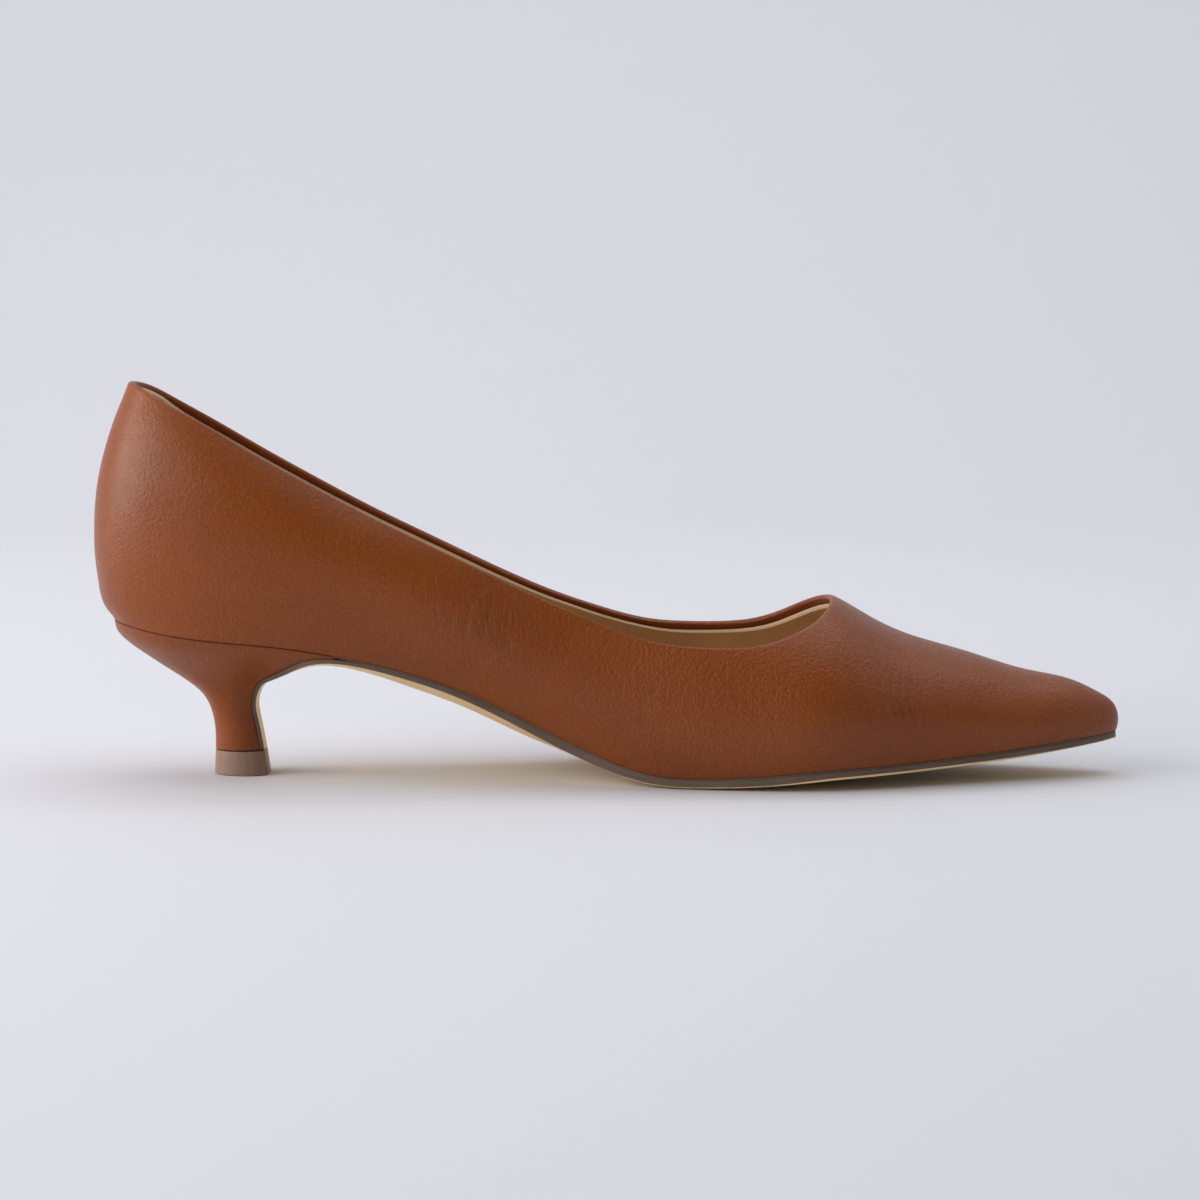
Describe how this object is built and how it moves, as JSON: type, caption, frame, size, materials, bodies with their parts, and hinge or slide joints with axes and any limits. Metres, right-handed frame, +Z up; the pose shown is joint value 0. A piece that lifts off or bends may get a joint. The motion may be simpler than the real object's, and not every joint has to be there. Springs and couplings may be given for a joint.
{
  "type": "kitten heel pump",
  "caption": "Pointed kitten heel pump in tan leather: a low-cut hollow upper on a thin sole that runs through the arch and down the front of a curved covered heel.",
  "frame": {"origin": "middle of the heel tip's underside, on the plane that the shoe stands on", "axes": "+X along the shoe from heel to toe, +Y to the outer side of the foot, +Z up"},
  "size_m": [0.264, 0.0773, 0.1016],
  "materials": {
    "tan_leather": "smooth satin tan leather with a pale lining",
    "tan_heel_cover": "smooth satin tan leather over a moulded heel",
    "sole_leather": "cream sole leather with a brown painted edge",
    "insole_board": "insole board under a tan sock",
    "heel_tip_rubber": "matte taupe hard rubber"
  },
  "bodies": {
    "root": {"upper": "tan_leather", "heel": "tan_heel_cover", "outsole": "sole_leather", "insole": "insole_board", "top_lift": "heel_tip_rubber"}
  },
  "joints": []
}
